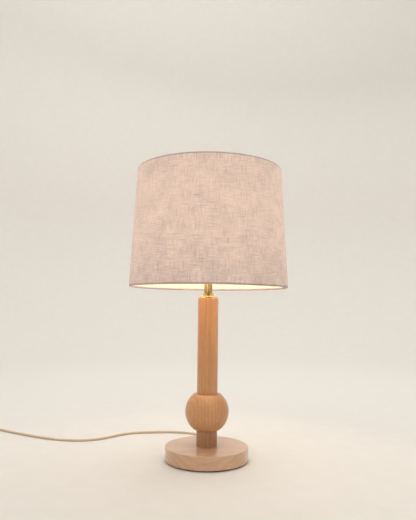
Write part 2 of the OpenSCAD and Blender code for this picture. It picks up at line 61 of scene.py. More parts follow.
def linear(code: str, alpha: float = 1.0) -> tuple[float, float, float, float]:
    """Turns an sRGB colour into the linear one that shaders use.

    Args:
        code: Six hex digits, as "#C8A078".
        alpha: Opacity of the colour.

    Returns:
        Linear red, green, blue and alpha.
    """
    parts = [int(code[i : i + 2], 16) / 255 for i in (1, 3, 5)]
    bent = [p / 12.92 if p <= 0.04045 else ((p + 0.055) / 1.055) ** 2.4 for p in parts]
    return (bent[0], bent[1], bent[2], alpha)


def add_node(tree: Any, kind: str, settings: dict | None = None, links: dict | None = None) -> Any:
    """Adds one shader node.

    Args:
        tree: The material's node tree.
        kind: The node's type, without its ShaderNode prefix.
        settings: Property names, or input names and numbers, with their values.
        links: Input names or numbers, with the output that feeds each.

    Returns:
        The new node.
    """
    node = tree.nodes.new("ShaderNode" + kind)
    for key, value in (settings or {}).items():
        if isinstance(key, int) or key in node.inputs:
            node.inputs[key].default_value = value
        else:
            setattr(node, key, value)
    for key, source in (links or {}).items():
        tree.links.new(source, node.inputs[key])
    return node


class Grain(Enum):
    """Which way the wood's fibres run in a piece, as a turn that brings them upright."""

    UPRIGHT = (0.0, 0.0, 0.0)
    ACROSS = (0.0, 90.0, 0.0)


@dataclass(frozen=True)
class Finish:
    """What every finish has.

    Attributes:
        name: The material's name.
    """

    name: str

    def start(self) -> tuple[Any, Any, Any]:
        """Makes an empty material.

        Returns:
            The material, its node tree and its Principled shader.
        """
        material = bpy.data.materials.new(self.name)
        material.use_nodes = True
        tree = material.node_tree
        return material, tree, tree.nodes["Principled BSDF"]


@dataclass(frozen=True)
class Beech(Finish):
    """Turned beech under a thin satin lacquer: pinkish tan, fine grain, short darker flecks.

    Attributes:
        grain: The fibres' direction.
        pith: Where the middle of the tree would be, in metres, which sets the rings' curve.
        pale: Colour between the rings.
        deep: Colour in the late wood of a ring.
        fleck: Colour of the ray flecks.
        ring_mm: Distance between growth rings.
        roughness: Roughness of the lacquer.
        coat: Weight of the lacquer over the wood.
    """

    grain: Grain = Grain.UPRIGHT
    pith: Point = (0.06, 0.045, 0.0)
    pale: str = "#DCA979"
    deep: str = "#B27748"
    fleck: str = "#8F5F41"
    ring_mm: float = 6.0
    roughness: float = 0.36
    coat: float = 0.25

    def build(self) -> Any:
        """Builds the wood's nodes and returns the material."""
        material, tree, shader = self.start()
        turn = [math.radians(a) for a in self.grain.value]
        where = add_node(tree, "TexCoord").outputs["Object"]
        upright = add_node(
            tree, "Mapping", {"Location": self.pith, "Rotation": turn}, {"Vector": where}
        ).outputs[0]
        # Stretched along the fibres, so that a ring reads as a long flame on a flat cut
        flame = add_node(tree, "Mapping", {"Scale": (1.0, 1.0, 0.12)}, {"Vector": upright}).outputs[0]
        # A wave's period is 0.314 / Scale
        rings = add_node(
            tree,
            "TexWave",
            {
                "wave_type": "RINGS",
                "rings_direction": "Z",
                "Scale": 0.314 / (self.ring_mm * MM),
                "Distortion": 5.0,
                "Detail": 3.0,
                "Detail Scale": 0.35,
                "Detail Roughness": 0.6,
            },
            {"Vector": flame},
        ).outputs["Fac"]
        # Fibres about 0.9 mm wide and 30 mm long, as coarse as they need to be to show
        thread = add_node(tree, "Mapping", {"Scale": (1.0, 1.0, 0.03)}, {"Vector": upright}).outputs[0]
        fibre = add_node(
            tree, "TexNoise", {"Scale": 1100.0, "Detail": 4.0, "Roughness": 0.65}, {"Vector": thread}
        ).outputs["Fac"]
        # Ray flecks, drawn about 0.7 mm wide and 5 mm long
        dash = add_node(tree, "Mapping", {"Scale": (1.0, 1.0, 0.14)}, {"Vector": upright}).outputs[0]
        speck = add_node(
            tree, "TexNoise", {"Scale": 1400.0, "Detail": 1.0, "Roughness": 0.5}, {"Vector": dash}
        ).outputs["Fac"]
        flecks = add_node(
            tree, "MapRange", {"From Min": 0.6, "From Max": 0.7, "To Max": 0.4}, {"Value": speck}
        ).outputs[0]
        cloud = add_node(
            tree, "TexNoise", {"Scale": 22.0, "Detail": 2.0}, {"Vector": flame}
        ).outputs["Fac"]
        # Rings, fibres and broad clouds share the blend from pale to deep
        blend = add_node(
            tree, "Math", {"operation": "MULTIPLY_ADD", 1: 0.16}, {0: rings, 2: fibre}
        ).outputs[0]
        blend = add_node(
            tree, "Math", {"operation": "MULTIPLY_ADD", 1: 0.8}, {0: cloud, 2: blend}
        ).outputs[0]
        blend = add_node(
            tree, "MapRange", {"From Min": 0.6, "From Max": 1.4}, {"Value": blend}
        ).outputs[0]
        tone = add_node(
            tree,
            "Mix",
            {"data_type": "RGBA", 6: linear(self.pale), 7: linear(self.deep)},
            {0: blend},
        ).outputs[2]
        colour = add_node(
            tree, "Mix", {"data_type": "RGBA", 7: linear(self.fleck)}, {0: flecks, 6: tone}
        ).outputs[2]
        rough = add_node(
            tree,
            "MapRange",
            {"To Min": self.roughness - 0.06, "To Max": self.roughness + 0.1},
            {"Value": fibre},
        ).outputs[0]
        bump = add_node(
            tree, "Bump", {"Strength": 0.25, "Distance": 0.15 * MM}, {"Height": fibre}
        ).outputs[0]
        tree.links.new(colour, shader.inputs["Base Color"])
        tree.links.new(rough, shader.inputs["Roughness"])
        tree.links.new(bump, shader.inputs["Normal"])
        shader.inputs["IOR"].default_value = 1.5
        shader.inputs["Coat Weight"].default_value = self.coat
        shader.inputs["Coat Roughness"].default_value = 0.3
        return material


@dataclass(frozen=True)
class Linen(Finish):
    """Plain-woven linen with slubs, laminated and lit from behind.

    The bulb's light through the cloth is painted as the cloth's own glow: thin places glow brighter, slubs
    stay dark, and a painted shadow keeps the cloth dark where a ring lies behind it.

    Attributes:
        light_thread: Colour of the paler threads.
        dark_thread: Colour of the darker threads and slubs.
        glow: Colour of the painted glow that stands in for the bulb's light coming through.
        glow_strength: Brightness of that painted glow.
        thread_mm: Distance between threads, drawn wider than the real 0.7 mm so that it shows.
        slub_mm: Width of a slub, drawn a little wide so that it shows.
        bulb_z: Height of the bulb's middle, in metres, where the painted glow is brightest.
        rims: Heights of the two rims, in metres.
        ring_mm: Depth of the painted shadow band along each rim, where a ring lies behind the cloth.
    """

    light_thread: str = "#D6C3BC"
    dark_thread: str = "#A6949A"
    glow: str = "#FFDCBA"
    glow_strength: float = 0.44
    thread_mm: float = 1.9
    slub_mm: float = 1.7
    bulb_z: float = 0.46
    rims: tuple[float, float] = (0.3187, 0.5417)
    ring_mm: float = 1.9

    def streaks(self, tree: Any, cloth: Any) -> tuple[Any, Any]:
        """Draws the weave and its slubs.

        Args:
            tree: The material's node tree.
            cloth: The cloth's own coordinates, in metres.

        Returns:
            The weave's and the slubs' values, both from 0 to 1.
        """
        short, long = 1 / (self.slub_mm * MM), 1 / (14 * self.slub_mm * MM)
        # A wave's period is 0.314 / Scale
        waves, slubs = [], []
        for direction, stretch in (("X", (short, long, 1.0)), ("Y", (long, short, 1.0))):
            waves.append(
                add_node(
                    tree,
                    "TexWave",
                    {
                        "wave_type": "BANDS",
                        "bands_direction": direction,
                        "Scale": 0.314 / (self.thread_mm * MM),
                        "Distortion": 1.6,
                        "Detail": 2.0,
                        "Detail Scale": 0.5,
                    },
                    {"Vector": cloth},
                ).outputs["Fac"]
            )
            run = add_node(tree, "Mapping", {"Scale": stretch}, {"Vector": cloth}).outputs[0]
            slubs.append(
                add_node(
                    tree,
                    "TexNoise",
                    {"Scale": 1.0, "Detail": 5.0, "Roughness": 0.7, "Distortion": 0.3},
                    {"Vector": run},
                ).outputs["Fac"]
            )
        weave = add_node(tree, "Math", {"operation": "MULTIPLY"}, {0: waves[0], 1: waves[1]}).outputs[0]
        both = add_node(tree, "Math", {"operation": "MAXIMUM"}, {0: slubs[0], 1: slubs[1]}).outputs[0]
        both = add_node(tree, "MapRange", {"From Min": 0.36, "From Max": 0.78}, {"Value": both}).outputs[0]
        return weave, both

    def build(self) -> Any:
        """Builds the cloth's nodes and returns the material."""
        material, tree, shader = self.start()
        coords = add_node(tree, "TexCoord")
        cloth = coords.outputs["UV"]
        weave, slubs = self.streaks(tree, cloth)
        patches = add_node(
            tree, "TexNoise", {"Scale": 30.0, "Detail": 4.0, "Roughness": 0.6}, {"Vector": cloth}
        ).outputs["Fac"]
        dense = add_node(
            tree, "Math", {"operation": "MULTIPLY_ADD", 1: 0.75}, {0: weave, 2: slubs}
        ).outputs[0]
        dense = add_node(
            tree, "Math", {"operation": "MULTIPLY_ADD", 1: 0.7}, {0: patches, 2: dense}
        ).outputs[0]
        dense = add_node(
            tree, "MapRange", {"From Min": 0.5, "From Max": 1.35}, {"Value": dense}
        ).outputs[0]
        colour = add_node(
            tree,
            "Mix",
            {"data_type": "RGBA", 6: linear(self.light_thread), 7: linear(self.dark_thread)},
            {0: dense},
        ).outputs[2]
        # Painted glow for the bulb's light through the cloth: brightest level with the bulb, fading towards
        # both rims
        height = add_node(tree, "SeparateXYZ", None, {0: coords.outputs["Object"]}).outputs["Z"]
        offset = add_node(tree, "Math", {"operation": "SUBTRACT", 1: self.bulb_z}, {0: height}).outputs[0]
        distance = add_node(tree, "Math", {"operation": "ABSOLUTE"}, {0: offset}).outputs[0]
        through = add_node(
            tree,
            "MapRange",
            {"interpolation_type": "SMOOTHSTEP", "From Max": 0.17, "To Min": 1.0, "To Max": 0.6},
            {"Value": distance},
        ).outputs[0]
        open_cloth = add_node(
            tree, "MapRange", {"To Min": 1.4, "To Max": 0.55}, {"Value": dense}
        ).outputs[0]
        # Painted shadow of the steel rings: their few millimetres get no glow
        foot, head, depth = self.rims[0], self.rims[1], self.ring_mm * MM
        lower_ring_painted_shadow = add_node(
            tree, "MapRange", {"From Min": foot + depth * 0.8, "From Max": foot + depth * 1.5},
            {"Value": height},
        ).outputs[0]
        upper_ring_painted_shadow = add_node(
            tree, "MapRange", {"From Min": head - depth * 0.8, "From Max": head - depth * 1.5},
            {"Value": height},
        ).outputs[0]
        for factor in (open_cloth, lower_ring_painted_shadow, upper_ring_painted_shadow):
            through = add_node(tree, "Math", {"operation": "MULTIPLY"}, {0: through, 1: factor}).outputs[0]
        # Colour of the painted glow, fed to the cloth's emission
        light = add_node(
            tree,
            "Mix",
            {"data_type": "RGBA", 6: (0.0, 0.0, 0.0, 1.0), 7: linear(self.glow)},
            {0: through},
        ).outputs[2]
        bump = add_node(
            tree, "Bump", {"Strength": 0.35, "Distance": 0.3 * MM}, {"Height": dense}
        ).outputs[0]
        tree.links.new(colour, shader.inputs["Base Color"])
        tree.links.new(light, shader.inputs["Emission Color"])
        tree.links.new(bump, shader.inputs["Normal"])
        shader.inputs["Emission Strength"].default_value = self.glow_strength
        shader.inputs["Roughness"].default_value = 0.9
        shader.inputs["Sheen Weight"].default_value = 0.15
        shader.inputs["Sheen Roughness"].default_value = 0.5
        shader.inputs["Specular IOR Level"].default_value = 0.2
        return material


@dataclass(frozen=True)
class Braid(Finish):
    """Braided cotton over the cord: two crossing sets of fine yarns.

    Attributes:
        yarn: Colour of the yarns.
        gap: Colour between them, darker as painted shade in the hollows between the yarns.
        carriers: Yarns round the cord in each direction.
        pitch_mm: Length of cord in which a yarn passes the next one.
    """

    yarn: str = "#E2CBAE"
    gap: str = "#B8997A"
    carriers: int = 8
    pitch_mm: float = 2.5

    def build(self) -> Any:
        """Builds the braid's nodes and returns the material."""
        material, tree, shader = self.start()
        cloth = add_node(tree, "TexCoord").outputs["UV"]
        strands = []
        for side in (1, -1):
            # One turn of the sine for each carrier round the cord and each pitch along it
            phase = add_node(
                tree,
                "VectorMath",
                {
                    "operation": "DOT_PRODUCT",
                    1: (math.tau * self.carriers, side * math.tau / (self.pitch_mm * MM), 0.0),
                },
                {0: cloth},
            ).outputs["Value"]
            strands.append(add_node(tree, "Math", {"operation": "SINE"}, {0: phase}).outputs[0])
        height = add_node(
            tree, "Math", {"operation": "MAXIMUM"}, {0: strands[0], 1: strands[1]}
        ).outputs[0]
        # Darker where the braid's surface is low: painted shade in the hollows between the yarns
        shade = add_node(
            tree, "MapRange", {"From Min": -0.9, "From Max": 0.8}, {"Value": height}
        ).outputs[0]
        colour = add_node(
            tree,
            "Mix",
            {"data_type": "RGBA", 6: linear(self.gap), 7: linear(self.yarn)},
            {0: shade},
        ).outputs[2]
        bump = add_node(
            tree, "Bump", {"Strength": 0.6, "Distance": 0.25 * MM}, {"Height": height}
        ).outputs[0]
        tree.links.new(colour, shader.inputs["Base Color"])
        tree.links.new(bump, shader.inputs["Normal"])
        shader.inputs["Roughness"].default_value = 0.78
        shader.inputs["Sheen Weight"].default_value = 0.3
        return material


@dataclass(frozen=True)
class Worked(Finish):
    """A moulded, rolled, plated or painted surface with a fine even mottle.

    Attributes:
        colour: Main colour.
        worn: Colour of the mottle.
        grain_mm: Size of the mottle.
        amount: How much of it shows, from 0 to 1.
        metallic: 1 for bare metal.
        roughness: Least roughness; the mottle adds to it.
        rougher: Roughness that the mottle adds.
        bump_mm: Height of the mottle.
        coat: Weight of a clear lacquer.
        glow: Colour of its own light, or black.
        glow_strength: Brightness of that light.
        stretch: Scale of the mottle along X, Y and Z, for brushed or turned marks.
    """

    colour: str = "#808080"
    worn: str = "#707070"
    grain_mm: float = 1.0
    amount: float = 0.3
    metallic: float = 0.0
    roughness: float = 0.4
    rougher: float = 0.1
    bump_mm: float = 0.02
    coat: float = 0.0
    glow: str = "#000000"
    glow_strength: float = 0.0
    stretch: Point = (1.0, 1.0, 1.0)

    def build(self) -> Any:
        """Builds the surface's nodes and returns the material."""
        material, tree, shader = self.start()
        where = add_node(tree, "TexCoord").outputs["Object"]
        marks = add_node(tree, "Mapping", {"Scale": self.stretch}, {"Vector": where}).outputs[0]
        mottle = add_node(
            tree,
            "TexNoise",
            {"Scale": 1 / (self.grain_mm * MM), "Detail": 4.0, "Roughness": 0.6},
            {"Vector": marks},
        ).outputs["Fac"]
        share = add_node(
            tree, "MapRange", {"From Min": 0.35, "From Max": 0.7, "To Max": self.amount}, {"Value": mottle}
        ).outputs[0]
        colour = add_node(
            tree,
            "Mix",
            {"data_type": "RGBA", 6: linear(self.colour), 7: linear(self.worn)},
            {0: share},
        ).outputs[2]
        rough = add_node(
            tree,
            "MapRange",
            {"To Min": self.roughness, "To Max": self.roughness + self.rougher},
            {"Value": mottle},
        ).outputs[0]
        bump = add_node(
            tree, "Bump", {"Strength": 0.4, "Distance": self.bump_mm * MM}, {"Height": mottle}
        ).outputs[0]
        tree.links.new(colour, shader.inputs["Base Color"])
        tree.links.new(rough, shader.inputs["Roughness"])
        tree.links.new(bump, shader.inputs["Normal"])
        shader.inputs["Metallic"].default_value = self.metallic
        shader.inputs["Coat Weight"].default_value = self.coat
        shader.inputs["Emission Color"].default_value = linear(self.glow)
        shader.inputs["Emission Strength"].default_value = self.glow_strength
        return material


# Each record slot's finish
SLOT_FINISHES = {
    # Polished and lacquered brass: bright, yellow, with faint turning marks
    "brass": Worked(
        "lacquered_brass", colour="#DFC07A", worn="#B8965A", grain_mm=0.8, amount=0.35,
        metallic=1.0, roughness=0.16, rougher=0.1, bump_mm=0.004, coat=0.3,
        stretch=(1.0, 1.0, 4.0),
    ),
    # Zinc-plated steel: grey, slightly blue, dull
    "zinc_steel": Worked(
        "zinc_plated_steel", colour="#B4B6B8", worn="#8E9094", grain_mm=1.2, amount=0.5,
        metallic=1.0, roughness=0.34, rougher=0.15, bump_mm=0.01,
    ),
    # Pressed wool felt: dark and matt
    "foot_felt": Worked(
        "wool_felt", colour="#4A3F37", worn="#2C2521", grain_mm=0.7, amount=0.8, metallic=0.0,
        roughness=0.92, rougher=0.06, bump_mm=0.3,
    ),
    # White styrene sheet behind the linen, lit by the bulb
    "styrene": Worked(
        "white_styrene", colour="#F4EDE0", worn="#E8DECB", grain_mm=3.0, amount=0.5, metallic=0.0,
        roughness=0.5, rougher=0.12, bump_mm=0.03,
    ),
    # White powder-coated wire
    "ring_enamel": Worked(
        "powder_coated_wire", colour="#EFEBE2", worn="#D9D3C6", grain_mm=0.6, amount=0.4,
        metallic=0.0, roughness=0.42, rougher=0.14, bump_mm=0.02,
    ),
    # Compression-moulded phenolic: near black and glossy
    "phenolic": Worked(
        "moulded_phenolic", colour="#241D19", worn="#15100E", grain_mm=1.0, amount=0.5,
        metallic=0.0, roughness=0.2, rougher=0.1, bump_mm=0.01, coat=0.2,
    ),
    # Vulcanised fibre tube
    "fibre_board": Worked(
        "vulcanised_fibre", colour="#A98A66", worn="#8A6D4C", grain_mm=0.8, amount=0.6,
        metallic=0.0, roughness=0.75, rougher=0.1, bump_mm=0.05,
    ),
    # Soft rubber strain relief and strap
    "relief_rubber": Worked(
        "soft_rubber", colour="#A98C6C", worn="#967A5C", grain_mm=0.5, amount=0.4, metallic=0.0,
        roughness=0.6, rougher=0.12, bump_mm=0.02,
    ),
    # PVC insulation on the cores
    "core_insulation": Worked(
        "pvc_insulation", colour="#D8CBB0", worn="#C6B898", grain_mm=0.6, amount=0.3, metallic=0.0,
        roughness=0.4, rougher=0.1, bump_mm=0.01,
    ),
    # Moulded PVC plug
    "plug_plastic": Worked(
        "moulded_pvc", colour="#C4A884", worn="#B0946F", grain_mm=0.5, amount=0.35, metallic=0.0,
        roughness=0.46, rougher=0.12, bump_mm=0.015,
    ),
    # Nickel-plated brass cap
    "nickel": Worked(
        "nickel_plate", colour="#CFC9BE", worn="#AEA79B", grain_mm=0.9, amount=0.4, metallic=1.0,
        roughness=0.2, rougher=0.12, bump_mm=0.006,
    ),
    # Bulb housing and board
    "bulb_plastic": Worked(
        "bulb_housing_plastic", colour="#F2EFE8", worn="#E3DED3", grain_mm=1.5, amount=0.4,
        metallic=0.0, roughness=0.38, rougher=0.1, bump_mm=0.01,
    ),
    "board_white": Worked(
        "solder_resist", colour="#ECE9E0", worn="#D8D4C8", grain_mm=1.0, amount=0.4, metallic=0.0,
        roughness=0.35, rougher=0.1, bump_mm=0.01,
    ),
    # Frosted diffuser, lit
    "bulb_glass": Worked(
        "frosted_diffuser", colour="#FFF6E6", worn="#FFEFD2", grain_mm=2.0, amount=0.3,
        metallic=0.0, roughness=0.5, rougher=0.1, bump_mm=0.01, glow="#FFE9D4", glow_strength=60.0,
    ),
}
# Pieces with a finish of their own: each wooden one is cut from its own blank, and the lower column's
# darker tone is painted shade
NODE_FINISHES = {
    "base_disc": Beech(
        "beech_base", grain=Grain.ACROSS, pith=(0.02, 0.03, -0.055), pale="#E0BB9C",
        deep="#B98963", fleck="#9A6D49", ring_mm=9.0, roughness=0.36, coat=1.0,
    ),
    # Drawn darker than the ball and upper column: painted shade under the ball
    "lower_column": Beech(
        "beech_lower_column_painted_shade", pith=(0.05, -0.02, 0.1), pale="#C99A72", deep="#A06C46", fleck="#6E452C"
    ),
    "ball": Beech("beech_ball", pith=(0.055, 0.04, 0.3), roughness=0.34),
    "upper_column": Beech("beech_upper_column", pith=(-0.05, 0.07, 0.2)),
    # Brass tube with long dark streaks along its length: painted reflections of the room, drawn as a
    # stretched mottle
    "neck_tube": Worked(
        "brass_painted_reflections", colour="#E4CC8C", worn="#2E1F0E", grain_mm=3.4, amount=1.0, metallic=1.0,
        roughness=0.2, rougher=0.12, bump_mm=0.004, coat=0.2, stretch=(1.0, 1.0, 0.03),
    ),
    "inner_cord": Worked(
        "cotton_yarn", colour="#E2CBAE", worn="#B8997A", grain_mm=0.6, amount=0.6, metallic=0.0,
        roughness=0.8, rougher=0.1, bump_mm=0.1,
    ),
}
BRAID = Braid("cotton_braid")
LINEN = Linen("slub_linen")


def unwrap(bm: Any, name: str, width: float, along: Any, around: Any) -> None:
    """Writes a UV map from what each vertex carries.

    Args:
        bm: The mesh being made.
        name: The UV map's name.
        width: What one full turn measures in the map.
        along: Vertex layer with the distance along the piece.
        around: Vertex layer with the share of a turn, from 0 to 1.
    """
    layer = bm.loops.layers.uv.new(name)
    for face in bm.faces:
        turns = [loop.vert[around] for loop in face.loops]
        high = max(turns)
        for loop, turn in zip(face.loops, turns):
            # A face that crosses the start of the turn has its low corners moved past the end
            if high - turn > 0.5:
                turn += 1
            loop[layer].uv = (turn * width, loop.vert[along])


def finished(bm: Any, name: str, material: Any, smooth: bool = True) -> Any:
    """Turns a bmesh into an object at the origin.

    Args:
        bm: The finished mesh data; it is freed.
        name: The object's name.
        material: Its material.
        smooth: Whether its faces are shaded smooth.

    Returns:
        The new object.
    """
    mesh = bpy.data.meshes.new(name)
    for face in bm.faces:
        face.smooth = smooth
    bm.to_mesh(mesh)
    bm.free()
    mesh.materials.append(material)
    piece = bpy.data.objects.new(name, mesh)
    bpy.context.scene.collection.objects.link(piece)
    return piece


def turned(name: str, profile: Shape, material: Any, steps: int = 96, closed: bool = True) -> Any:
    """Turns an outline round the Z axis.

    Args:
        name: The object's name.
        profile: Radius and height of each point, in metres.
        material: Its material.
        steps: Segments round the piece.
        closed: Whether the outline is a closed ring, as a wall's is.

    Returns:
        The new object, with a UV map in metres: round the piece, then along the outline.
    """
    bm = bmesh.new()
    along = bm.verts.layers.float.new("along")
    around = bm.verts.layers.float.new("around")
    verts, run = [], 0.0
    for i, (radius, height) in enumerate(profile):
        run += math.dist(profile[i], profile[i - 1]) if i else 0.0
        vert = bm.verts.new((radius, 0.0, height))
        vert[along] = run
        verts.append(vert)
    edges = [bm.edges.new(pair) for pair in zip(verts, verts[1:])]
    if closed:
        edges.append(bm.edges.new((verts[-1], verts[0])))
    bmesh.ops.spin(
        bm, geom=verts + edges, axis=(0, 0, 1), cent=(0, 0, 0), angle=math.tau, steps=steps,
        use_merge=True, use_duplicate=False,
    )
    bmesh.ops.remove_doubles(bm, verts=bm.verts, dist=1e-6)
    bmesh.ops.recalc_face_normals(bm, faces=bm.faces)
    for vert in bm.verts:
        vert[around] = math.atan2(vert.co.y, vert.co.x) / math.tau % 1.0
    mean = sum(p[0] for p in profile) / len(profile)
    unwrap(bm, "Surface", math.tau * mean, along, around)
    return finished(bm, name, material)


def arc(centre: tuple[float, float], radius: float, start: float, end: float, steps: int) -> Shape:
    """Points on an arc of an outline.

    Args:
        centre: Radius and height of the arc's centre.
        radius: Radius of the arc.
        start: First angle in degrees, 0 pointing outwards and 90 up.
        end: Last angle in degrees.
        steps: Segments in the arc.

    Returns:
        The arc's points, both ends included.
    """
    angles = [math.radians(start + (end - start) * i / steps) for i in range(steps + 1)]
    return [(centre[0] + radius * math.cos(a), centre[1] + radius * math.sin(a)) for a in angles]


def smooth_line(points: list[Vector], spacing: float) -> list[Vector]:
    """Lays one smooth curve through points that may be unevenly spaced.

    Args:
        points: The points it passes through.
        spacing: Distance between the points returned.

    Returns:
        Closely spaced points on the curve.
    """
    chords = [(b - a).length for a, b in zip(points, points[1:])]
    slopes = [(points[1] - points[0]) / chords[0]]
    for i in range(1, len(points) - 1):
        before = (points[i] - points[i - 1]) / chords[i - 1]
        after = (points[i + 1] - points[i]) / chords[i]
        slopes.append((before * chords[i] + after * chords[i - 1]) / (chords[i - 1] + chords[i]))
    slopes.append((points[-1] - points[-2]) / chords[-1])
    line = []
    for i, chord in enumerate(chords):
        steps = max(1, round(chord / spacing))
        for k in range(steps):
            t = k / steps
            line.append(
                (1 + 2 * t) * (1 - t) ** 2 * points[i]
                + t * (1 - t) ** 2 * chord * slopes[i]
                + t * t * (3 - 2 * t) * points[i + 1]
                + t * t * (t - 1) * chord * slopes[i + 1]
            )
    line.append(points[-1])
    return line


def swept(name: str, line: list[Vector], radius: float, material: Any, sides: int = 12) -> Any:
    """Makes a round tube along a line that mostly lies flat.

    Args:
        name: The object's name.
        line: Closely spaced points of the tube's middle.
        radius: The tube's radius.
        material: Its material.
        sides: Sides of the tube.

    Returns:
        The new object, with a UV map: turns round the tube, then metres along it.
    """
    bm = bmesh.new()
    along = bm.verts.layers.float.new("along")
    around = bm.verts.layers.float.new("around")
    ring = bmesh.ops.create_circle(bm, cap_ends=False, segments=sides, radius=radius)["verts"]
    edges = list(bm.edges)
    bmesh.ops.contextual_create(bm, geom=edges)
    run = 0.0
    for i, point in enumerate(line):
        heading = (line[min(i + 1, len(line) - 1)] - line[max(i - 1, 0)]).normalized()
        across = Vector((0, 0, 1)).cross(heading).normalized()
        up = heading.cross(across)
        if i:
            run += (point - line[i - 1]).length
            made = bmesh.ops.extrude_edge_only(bm, edges=edges)["geom"]
            ring = [e for e in made if isinstance(e, bmesh.types.BMVert)]
            edges = [
                e for e in made
                if isinstance(e, bmesh.types.BMEdge) and all(v in ring for v in e.verts)
            ]
        for k, vert in enumerate(ring):
            turn = k / sides
            # The extruded ring keeps the order of the one before it
            angle = math.tau * turn
            vert.co = point + radius * (math.cos(angle) * across + math.sin(angle) * up)
            vert[along] = run
            vert[around] = turn
    bmesh.ops.contextual_create(bm, geom=edges)
    bmesh.ops.recalc_face_normals(bm, faces=bm.faces)
    unwrap(bm, "Surface", 1.0, along, around)
    return finished(bm, name, material)


@dataclass
class Studio:
    """The camera, the pale sweep that the lamp stands on, and its soft lights.

    Attributes:
        distance: How far the camera stands in front of the lamp.
        height: The camera's height above the table.
        side: The camera's place to the right of the lamp's middle.
        tilt: How far it looks up, in degrees.
        roll: How far it leans left, in degrees.
        lens: Focal length in millimetres on a 36 mm frame.
        sweep_radius: Radius of the round sweep's floor and curve.
        sweep_height: Height of its wall.
    """

    distance: float = 1.0
    height: float = 0.2774
    side: float = -0.0014
    tilt: float = 5.357
    roll: float = 0.67
    lens: float = 36.32
    sweep_radius: float = 2.8
    sweep_height: float = 3.4

    def build(self) -> None:
        """Makes the camera, the sweep, the lights and the world."""
        self.camera()
        self.sweep()
        self.flag()
        self.light("key_softbox", (-1.4, -1.6, 2.2), (0.0, 0.0, 0.3), size=1.9, power=8.0, colour="#FFFBF6")
        self.light("top_softbox", (0.3, 0.6, 2.5), (0.0, 0.0, 0.2), size=2.4, power=31.0, colour="#FFFCF8")
        self.light("front_fill", (0.5, -2.1, 1.2), (0.0, 0.0, 0.35), size=1.6, power=3.0, colour="#FFFBF6")
        self.light("wall_wash", (-0.2, 0.9, 3.2), (0.0, 2.9, 2.2), size=2.0, power=22.0, colour="#FFFCF8")
        world = bpy.data.worlds.new("studio_air")
        world.use_nodes = True
        air = world.node_tree.nodes["Background"].inputs
        air["Color"].default_value = linear("#F4F3F1")
        air["Strength"].default_value = 0.62
        bpy.context.scene.world = world
        bpy.context.scene.view_settings.view_transform = "Standard"

    def flag(self) -> None:
        """Hangs a dark card in front of the lamp that only shows in reflections, as metal needs."""
        card = Worked(
            "flag_cloth", colour="#1E1B18", worn="#161412", grain_mm=5.0, amount=0.3, metallic=0.0,
            roughness=0.9, rougher=0.05, bump_mm=0.0,
        ).build()
        bm = bmesh.new()
        bmesh.ops.create_grid(bm, x_segments=1, y_segments=1, size=0.5)
        place = Matrix.Translation((0.25, -2.0, 0.75)) @ Matrix.Rotation(math.radians(90), 4, "X")
        bmesh.ops.transform(bm, matrix=place @ Matrix.Diagonal((2.6, 1.9, 1.0, 1.0)), verts=bm.verts)
        flag = finished(bm, "flag", card, smooth=False)
        flag.visible_camera = False
        flag.visible_diffuse = False
        flag.visible_shadow = False

    def camera(self) -> None:
        """Stands the camera in front of the lamp, looking a little up."""
        data = bpy.data.cameras.new("camera")
        data.lens = self.lens
        camera = bpy.data.objects.new("camera", data)
        bpy.context.scene.collection.objects.link(camera)
        look = Euler((math.radians(90 + self.tilt), 0.0, 0.0)).to_matrix()
        lean = Matrix.Rotation(math.radians(self.roll), 3, "Z")
        place = Vector((self.side, -self.distance, self.height))
        camera.matrix_world = Matrix.Translation(place) @ (look @ lean).to_4x4()
        bpy.context.scene.camera = camera

    def sweep(self) -> None:
        """Makes a round floor that curves up into a wall on every side."""
        paper = Worked(
            "sweep_paper", colour="#E4E1DC", worn="#DFDCD6", grain_mm=40.0, amount=0.5,
            metallic=0.0, roughness=0.85, rougher=0.08, bump_mm=0.0,
        ).build()
        curve = 1.0
        floor = self.sweep_radius - curve
        corner = [
            (floor + curve * math.sin(a), curve - curve * math.cos(a))
            for a in (math.radians(6 * i) for i in range(16))
        ]
        outline = [(0.0, 0.0), (floor * 0.5, 0.0), *corner, (self.sweep_radius, self.sweep_height)]
        sweep = turned("sweep", outline, paper, 128, closed=False)
        for polygon in sweep.data.polygons:
            if polygon.normal.z < 0 and polygon.center.z < 0.01:
                sweep.data.flip_normals()
                break

    def light(
        self, name: str, place: Point, target: Point, size: float, power: float, colour: str
    ) -> None:
        """Adds a square soft light.

        Args:
            name: The light's name.
            place: Where it is.
            target: What it points at.
            size: Length of its side.
            power: Its power in watts.
            colour: Its colour.
        """
        data = bpy.data.lights.new(name, "AREA")
        data.shape = "SQUARE"
        data.size = size
        data.energy = power
        data.color = linear(colour)[:3]
        lamp = bpy.data.objects.new(name, data)
        lamp.location = place
        lamp.rotation_euler = (Vector(target) - Vector(place)).to_track_quat("-Z", "Y").to_euler()
        bpy.context.scene.collection.objects.link(lamp)


